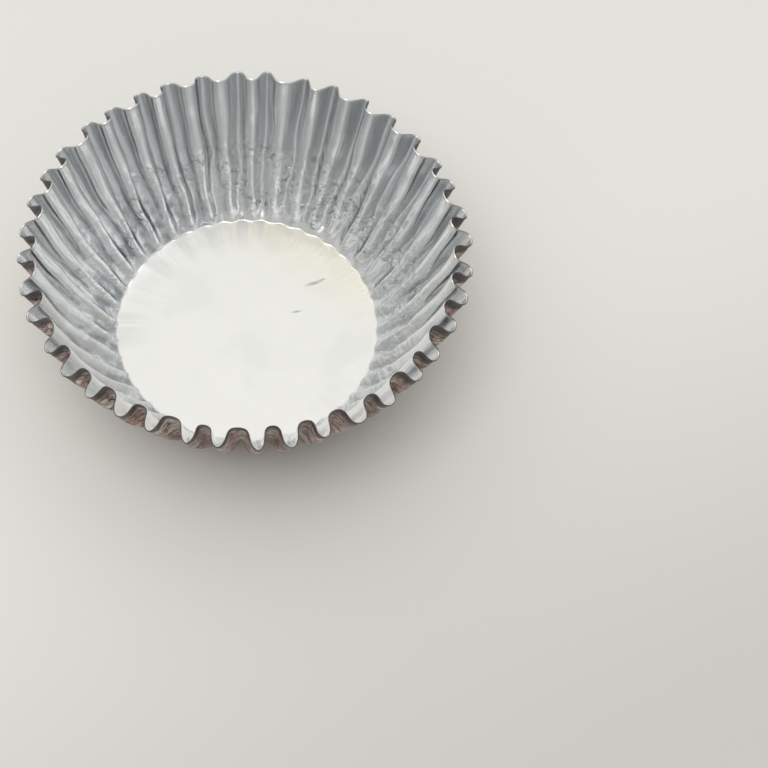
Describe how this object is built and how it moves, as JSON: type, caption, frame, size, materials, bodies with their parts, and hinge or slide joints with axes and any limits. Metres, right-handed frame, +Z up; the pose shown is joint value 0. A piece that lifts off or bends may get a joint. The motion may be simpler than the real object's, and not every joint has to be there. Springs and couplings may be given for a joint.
{
  "type": "cupcake liner",
  "caption": "Fluted round cupcake liner of foil-lined paper, plain foil inside and a bark print outside, standing open on its flat base.",
  "frame": {"origin": "middle of the base's underside, on the surface that the liner stands on", "axes": "+Z up along the liner's axis, out of its mouth; +X through the crest of one flute"},
  "size_m": [0.0838, 0.0838, 0.0283],
  "materials": {
    "foil_lined_paper": "satin foil inside, matt print outside"
  },
  "bodies": {
    "root": {"liner": "foil_lined_paper"}
  },
  "joints": []
}
